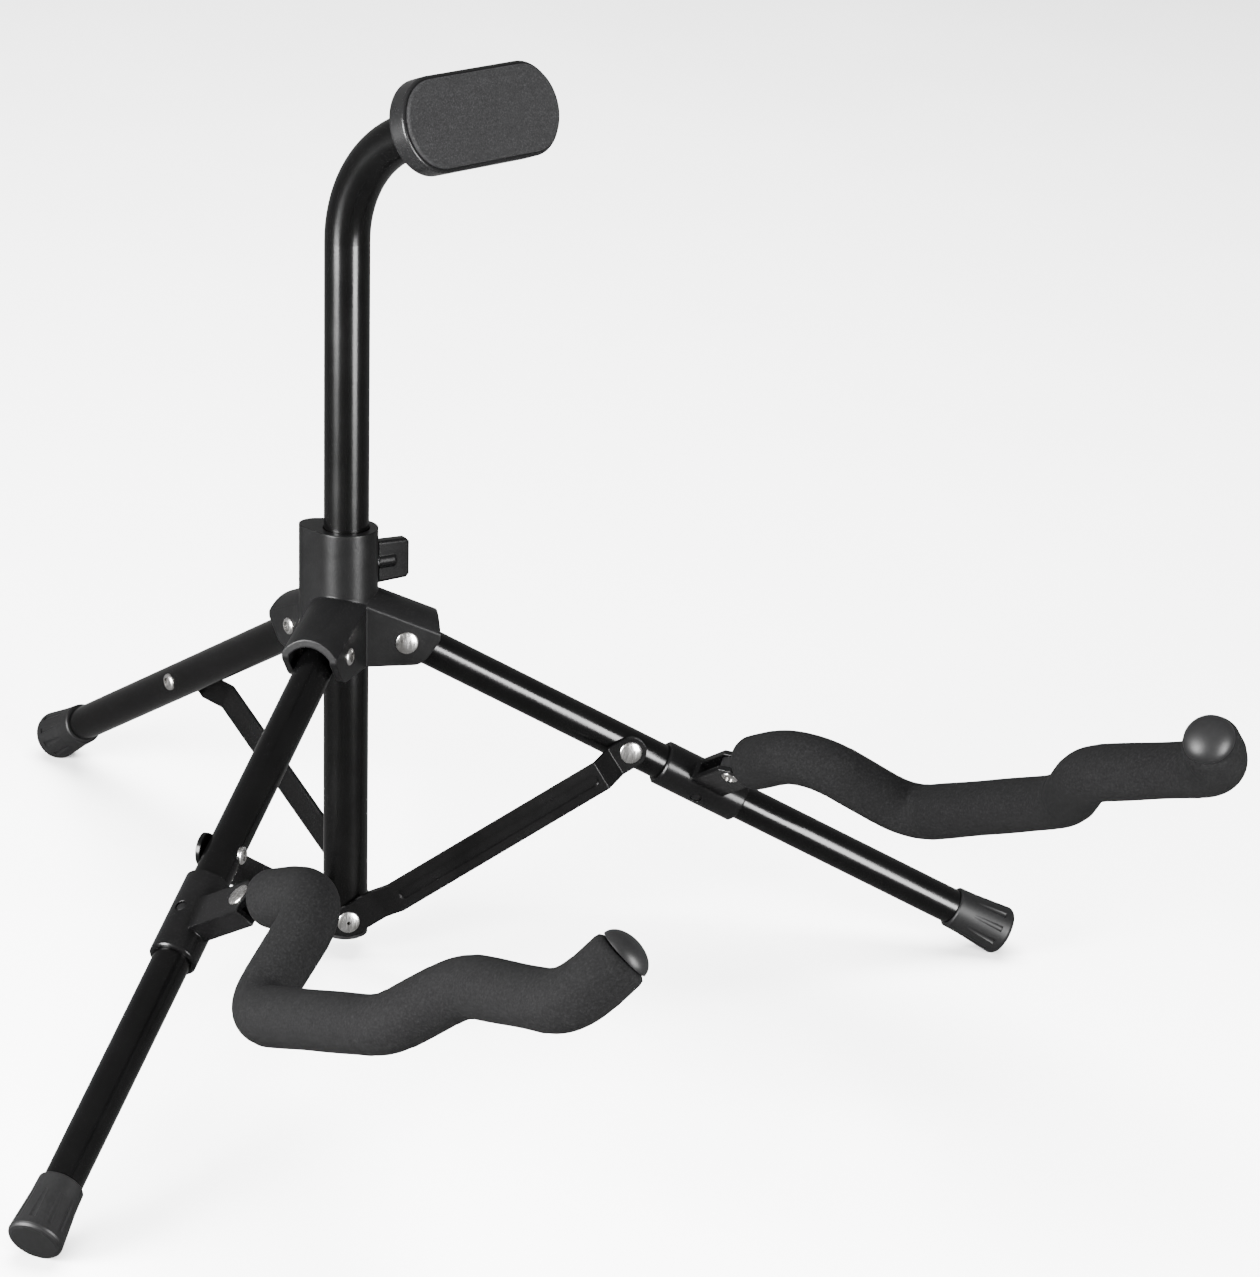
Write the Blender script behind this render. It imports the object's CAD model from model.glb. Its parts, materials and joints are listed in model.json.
"""Looks of a folding guitar stand: powder-coated tubes, moulded nylon, nickel rivets and foam.

Metres, in the part's own frame: +Z up, the floor at z = 0, -Y the front.
"""

import json
import math

import bpy
from mathutils import Matrix, Vector


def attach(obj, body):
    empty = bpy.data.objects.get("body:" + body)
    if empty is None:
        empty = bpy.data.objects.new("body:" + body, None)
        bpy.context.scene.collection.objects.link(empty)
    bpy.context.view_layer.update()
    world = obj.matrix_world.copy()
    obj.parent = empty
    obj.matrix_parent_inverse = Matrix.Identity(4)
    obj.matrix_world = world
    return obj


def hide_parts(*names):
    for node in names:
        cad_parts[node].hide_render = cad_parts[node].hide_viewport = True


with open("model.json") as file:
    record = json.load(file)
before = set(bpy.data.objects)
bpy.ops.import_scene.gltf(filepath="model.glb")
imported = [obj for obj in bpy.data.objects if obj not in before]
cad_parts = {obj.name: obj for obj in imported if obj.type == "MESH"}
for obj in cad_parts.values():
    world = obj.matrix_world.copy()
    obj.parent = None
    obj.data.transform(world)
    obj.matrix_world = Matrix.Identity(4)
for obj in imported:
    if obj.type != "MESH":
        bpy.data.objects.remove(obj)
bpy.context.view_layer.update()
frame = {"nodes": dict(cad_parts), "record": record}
nodes = frame["nodes"]
joints = {joint["name"]: joint for joint in frame["record"]["behaviour"]["joints"]}


# ---------------------------------------------------------------- materials

NOISE_LOW, NOISE_HIGH = 0.3, 0.7        # the span that noise values really fill
ORANGE_PEEL_DEPTH = 0.00015
SCRATCH_DEPTH = 0.00005
RIVET_HOLLOW = 0.0016


class Paint:
    """A procedural material: one shader, fed by noises in the object's own space."""

    def __init__(self, name, colour, rough, **fixed):
        self.material = bpy.data.materials.new(name)
        self.material.use_nodes = True
        self.tree = self.material.node_tree
        self.shader = self.tree.nodes["Principled BSDF"]
        self.place = self.tree.nodes.new("ShaderNodeTexCoord").outputs["Object"]
        self.shader.inputs["Base Color"].default_value = (*colour, 1)
        self.shader.inputs["Roughness"].default_value = rough
        for socket, value in fixed.items():
            self.shader.inputs[socket.replace("_", " ")].default_value = value

    def noise(self, scale, detail=3.0, rough=0.55, stretch=None):
        """Return the value of a noise of so many waves per metre."""
        node = self.tree.nodes.new("ShaderNodeTexNoise")
        node.inputs["Scale"].default_value = scale
        node.inputs["Detail"].default_value = detail
        node.inputs["Roughness"].default_value = rough
        source = self.place
        if stretch:
            mapping = self.tree.nodes.new("ShaderNodeMapping")
            mapping.inputs["Scale"].default_value = stretch
            self.tree.links.new(source, mapping.inputs["Vector"])
            source = mapping.outputs["Vector"]
        self.tree.links.new(source, node.inputs["Vector"])
        return node.outputs["Fac"]

    def ramp(self, value, stops):
        """Return a colour ramp of (position, colour) stops over a value."""
        node = self.tree.nodes.new("ShaderNodeValToRGB")
        while len(node.color_ramp.elements) < len(stops):
            node.color_ramp.elements.new(0.5)
        for element, (position, colour) in zip(node.color_ramp.elements, stops):
            element.position = position
            element.color = (*colour, 1)
        self.tree.links.new(value, node.inputs["Fac"])
        return node.outputs["Color"]

    def span(self, value, low, high):
        """Return a value stretched from low to high."""
        node = self.tree.nodes.new("ShaderNodeMapRange")
        node.inputs["From Min"].default_value = NOISE_LOW
        node.inputs["From Max"].default_value = NOISE_HIGH
        node.inputs["To Min"].default_value = low
        node.inputs["To Max"].default_value = high
        self.tree.links.new(value, node.inputs["Value"])
        return node.outputs["Result"]

    def feed(self, socket, value):
        """Feed a shader input."""
        self.tree.links.new(value, self.shader.inputs[socket])

    def rounded(self, radius):
        """Return a normal that softens sharp edges by so many metres."""
        node = self.tree.nodes.new("ShaderNodeBevel")
        node.samples = 6
        node.inputs["Radius"].default_value = radius
        return node.outputs["Normal"]

    def hollows(self, colour, reach):
        """Return a colour that darkens where the surface is shut in within so many metres."""
        shade = self.tree.nodes.new("ShaderNodeAmbientOcclusion")
        shade.samples = 8
        shade.inputs["Distance"].default_value = reach
        self.tree.links.new(colour, shade.inputs["Color"])
        return shade.outputs["Color"]

    def bump(self, *layers, normal=None):
        """Stack bumps of (value, strength, depth in metres) on a normal."""
        last = normal
        for value, strength, depth in layers:
            node = self.tree.nodes.new("ShaderNodeBump")
            node.inputs["Strength"].default_value = strength
            node.inputs["Distance"].default_value = depth
            self.tree.links.new(value, node.inputs["Height"])
            if last:
                self.tree.links.new(last, node.inputs["Normal"])
            last = node.outputs["Normal"]
        self.feed("Normal", last)


def grey(level):
    """Return a neutral colour."""
    return (level, level, level * 1.03)


def coated(name, level, low, high, shine=0.5, grain=0.15, edge=0.0):
    """Black coating with a faint orange peel, an uneven gloss and softened edges."""
    paint = Paint(name, grey(level), low, Specular_IOR_Level=shine)
    clouds = paint.noise(40, 4)
    peel = paint.noise(900, 2)
    paint.feed("Roughness", paint.span(clouds, low, high))
    paint.feed("Base Color", paint.ramp(clouds, [(NOISE_LOW, grey(level * 0.85)),
                                                 (NOISE_HIGH, grey(level * 1.2))]))
    paint.bump((peel, grain, ORANGE_PEEL_DEPTH), normal=paint.rounded(edge) if edge else None)
    return paint.material


def nickel():
    """Bright rivets with fine scratches and a little grime."""
    paint = Paint("nickel_rivet", grey(0.72), 0.2, Metallic=1.0)
    clouds, scratches = paint.noise(260, 4), paint.noise(1500, 3, stretch=(1, 1, 0.1))
    tarnish = paint.ramp(clouds, [(0.25, (0.36, 0.35, 0.33)), (0.6, (0.62, 0.61, 0.6))])
    paint.feed("Base Color", paint.hollows(tarnish, RIVET_HOLLOW))
    paint.feed("Roughness", paint.span(scratches, 0.14, 0.32))
    paint.bump((scratches, 0.1, SCRATCH_DEPTH))
    return paint.material


def grained(name, level, contrast, grain, rough, depth, strength, shine):
    """Soft matte material with a fine speckle and a broad unevenness."""
    paint = Paint(name, grey(level), rough, Specular_IOR_Level=shine)
    speckle, clouds = paint.noise(grain, 2, 0.7), paint.noise(28, 3)
    fine = paint.noise(grain * 2.3, 1, 0.5)
    paint.feed("Base Color", paint.ramp(speckle, [(0.3, grey(level / contrast)),
                                                  (0.55, grey(level)),
                                                  (0.75, grey(level * contrast))]))
    paint.feed("Roughness", paint.span(clouds, rough - 0.06, rough + 0.06))
    paint.bump((speckle, strength, depth), (fine, strength, depth / 2))
    return paint.material


LOOKS = {
    "black_powder_coat": coated("tube_black", 0.0006, 0.17, 0.23, shine=0.2),
    "black_strip_steel": coated("strip_black", 0.001, 0.2, 0.3, shine=0.15, edge=0.0005),
    "rod_steel": coated("rod_black", 0.003, 0.3, 0.4, shine=0.15),
    "hub_nylon": coated("hub_black", 0.0018, 0.3, 0.4, shine=0.13, grain=0.3, edge=0.0009),
    "gloss_nylon": coated("wing_black", 0.0015, 0.18, 0.28, shine=0.13, grain=0.1, edge=0.0006),
    "sleeve_nylon": coated("sleeve_black", 0.0015, 0.18, 0.27, shine=0.13, edge=0.0007),
    "plate_nylon": coated("plate_black", 0.003, 0.22, 0.3, shine=0.2, edge=0.0009),
    "black_plug": coated("plug_black", 0.003, 0.4, 0.5, shine=0.12),
    "black_screw": coated("screw_black", 0.002, 0.3, 0.4, shine=0.2, edge=0.0003),
    "arm_cap_nylon": coated("arm_cap_black", 0.003, 0.4, 0.5, shine=0.15, grain=0.2),
    "screw_steel": coated("stud_steel", 0.25, 0.3, 0.4),
    "nickel_rivet": nickel(),
    "cap_rubber": grained("cap_rubber_black", 0.0025, 1.25, 700, 0.48, 0.0001, 0.2, shine=0.15),
    "foam": grained("foam_charcoal", 0.0026, 1.8, 1100, 0.85, 0.00025, 0.5, shine=0.05),
    "pad_rubber": grained("pad_charcoal", 0.008, 2.0, 1500, 0.72, 0.0003, 0.6, shine=0.06),
}

for part in frame["record"]["subparts"]:
    mesh_object = nodes[part["node"]]
    mesh_object.data.materials.clear()
    mesh_object.data.materials.append(LOOKS[part["material_slot"]])


# ---------------------------------------------------------------- foam sleeves on the arms

# The route of an arm, from where its foam starts to its tip, and the radius of each bend.
ARM_ROUTE = [(0.0142, 0), (0.055, 0), (0.0535, 0.059), (0.149, 0.071), (0.183, 0.0545),
             (0.254, 0.069), (0.271, 0.046)]
ARM_BENDS = [0.019, 0.0145, 0.026, 0.026, 0.022]
TIP_GAP = 0.003
FOAM, ROD = 0.0114, 0.0041
LIP, LIP_PULL = 0.0035, 0.8
FULLER_INSIDE, GENTLE_BEND = 0.0004, 0.026
LONGEST_BEND = 0.48
PIVOT_STATION, PIVOT_OFFSET = 0.1475, 0.034
OPENING = {"left": 11.1, "right": 6.5}
RING = 48
STEP = 0.0016


def centreline():
    """Return evenly spaced (point, heading, bend) along the arm's runs and tangent arcs."""
    corners = [Vector((across, up, 0)) for across, up in ARM_ROUTE]
    corners[-1] -= (corners[-1] - corners[-2]).normalized() * TIP_GAP
    places, start = [], corners[0]

    def run(first, last):
        heading = (last - first).normalized()
        count = max(1, round((last - first).length / STEP))
        for index in range(count):
            places.append((first.lerp(last, index / count), heading, 0.0))

    for before, corner, after, bend in zip(corners, corners[1:], corners[2:], ARM_BENDS):
        back, ahead = (before - corner).normalized(), (after - corner).normalized()
        half = back.angle(ahead) / 2
        room = LONGEST_BEND * min((before - corner).length, (after - corner).length)
        radius = min(bend, room * math.tan(half))
        reach = radius / math.tan(half)
        first = corner + back * reach
        centre = corner + (back + ahead).normalized() * (radius / math.sin(half))
        run(start, first)
        side = math.copysign(1, back.cross(ahead).z) * -1
        sweep = math.pi - 2 * half
        count = max(2, round(sweep * radius / STEP))
        for index in range(count):
            turn = Matrix.Rotation(side * sweep * index / count, 3, "Z")
            places.append((centre + turn @ (first - centre), turn @ -back, side / radius))
        start = corner + ahead * reach
    run(start, corners[-1])
    places.append((corners[-1], (corners[-1] - corners[-2]).normalized(), 0.0))
    return places


def foam(name):
    """Foam tube round the rod: rounded lips, slightly fuller on the inside of each bend."""
    joint = joints["arm_%s_fold" % name]
    pivot, up = Vector(joint["pos_m"]), -Vector(joint["axis"]).normalized()
    reach = pivot - Vector(joints["leg_%s_fold" % name]["pos_m"])
    tilt = math.radians(90 - OPENING[name]) - math.atan2(PIVOT_OFFSET, PIVOT_STATION)
    across = Matrix.Rotation(-tilt, 3, up) @ reach.normalized()
    place = Matrix((across, up.cross(across), up)).transposed()
    line = centreline()
    lengths = [0.0]
    for (here, _, _), (after, _, _) in zip(line, line[1:]):
        lengths.append(lengths[-1] + (after - here).length)
    total = lengths[-1]
    rings = [(line[0][0], line[0][1], 0.0, ROD)]
    for (point, heading, bend), length in zip(line, lengths):
        edge, drop = min(length, total - length), 0.0
        if edge < LIP:
            drop = LIP - math.sqrt(LIP ** 2 - (LIP - edge) ** 2)
        soft = 0.00018 * math.sin(length * 61 + 1.3) + 0.00012 * math.sin(length * 137)
        rings.append((point, heading, bend, FOAM - drop * LIP_PULL + soft))
    rings.append((line[-1][0], line[-1][1], 0.0, ROD))
    points, faces = [], []
    for point, heading, bend, radius in rings:
        sideways = Vector((-heading.y, heading.x, 0))
        for index in range(RING):
            turn = 2 * math.pi * index / RING
            inner = math.cos(turn) * math.copysign(1, bend) if bend else 0.0
            wide = radius + FULLER_INSIDE * inner * min(1.0, abs(bend) * GENTLE_BEND)
            spot = point + sideways * wide * math.cos(turn) + Vector((0, 0, wide * math.sin(turn)))
            points.append(pivot + place @ spot)
    for row in range(len(rings) - 1):
        for index in range(RING):
            after = (index + 1) % RING
            faces.append((row * RING + index, row * RING + after,
                          (row + 1) * RING + after, (row + 1) * RING + index))
    mesh = bpy.data.meshes.new("foam_" + name)
    mesh.from_pydata(points, [], faces)
    mesh.update()
    for face in mesh.polygons:
        face.use_smooth = True
    piece = bpy.data.objects.new("foam_sleeve_" + name, mesh)
    bpy.context.scene.collection.objects.link(piece)
    mesh.materials.append(LOOKS["foam"])
    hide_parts("arm_foam_" + name)
    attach(piece, "arm_" + name)


for arm in ("left", "right"):
    foam(arm)


# ---------------------------------------------------------------- floor, light and camera

FLOOR_REACH = 6.0
MIDDLE = (0.0, 0.0, 0.2)
DAYLIGHT = 0.35


def floor():
    """Large pale floor that isn't part of the stand, left out of the gloss of black tubes."""
    mesh = bpy.data.meshes.new("floor")
    mesh.from_pydata([(-FLOOR_REACH, -FLOOR_REACH, 0), (FLOOR_REACH, -FLOOR_REACH, 0),
                      (FLOOR_REACH, FLOOR_REACH, 0), (-FLOOR_REACH, FLOOR_REACH, 0)],
                     [], [(0, 1, 2, 3)])
    ground = bpy.data.objects.new("floor", mesh)
    bpy.context.scene.collection.objects.link(ground)
    paint = Paint("floor_pale", (0.93, 0.93, 0.93), 0.35)
    paint.feed("Roughness", paint.span(paint.noise(6), 0.3, 0.4))
    mesh.materials.append(paint.material)
    ground.visible_glossy = False


def lamp(name, place, target, width, height, power, mirrored=True):
    """Soft box aimed at a point, seen in glossy surfaces or not."""
    light = bpy.data.lights.new(name, "AREA")
    light.shape = "RECTANGLE"
    light.size, light.size_y, light.energy = width, height, power
    holder = bpy.data.objects.new(name, light)
    holder.location = place
    holder.rotation_mode = "QUATERNION"
    holder.rotation_quaternion = (Vector(target) - Vector(place)).to_track_quat("-Z", "Y")
    holder.visible_glossy = mirrored
    bpy.context.scene.collection.objects.link(holder)


floor()
lamp("left_box", (-1.2, 0.1, 0.38), MIDDLE, 0.5, 0.7, 170)
lamp("right_box", (0.1, -1.2, 0.38), MIDDLE, 0.45, 0.7, 85)
lamp("top_box", (0.2, 0.3, 2.0), MIDDLE, 1.8, 1.8, 320, mirrored=False)

# The camera's lens, its place beside the hub and its three axes.
LENS, SENSOR, SIGHT = 128.88, 36, 50
STAND_OFF = Vector((-1.084455, -1.394498, 0.772634))
RIGHT = Vector((0.767996, -0.634449, 0.087500))
DOWN = Vector((-0.191721, -0.358102, -0.913787))
FORWARD = Vector((0.611085, 0.685009, -0.396658))

world = bpy.data.worlds.new("studio")
world.use_nodes = True
world.node_tree.nodes["Background"].inputs["Color"].default_value = (1, 1, 1, 1)
world.node_tree.nodes["Background"].inputs["Strength"].default_value = DAYLIGHT
bpy.context.scene.world = world

camera = bpy.data.objects.new("camera", bpy.data.cameras.new("camera"))
camera.data.lens = LENS
camera.data.sensor_width = SENSOR
camera.data.clip_end = SIGHT
turn = Matrix((RIGHT, -DOWN, -FORWARD)).transposed()
hinges = [Vector(joints["leg_%s_fold" % name]["pos_m"]) for name in ("left", "right", "rear")]
hub_centre = sum(hinges, Vector()) / 3
camera.matrix_world = Matrix.Translation(hub_centre + STAND_OFF) @ turn.to_4x4()
bpy.context.scene.collection.objects.link(camera)
bpy.context.scene.camera = camera
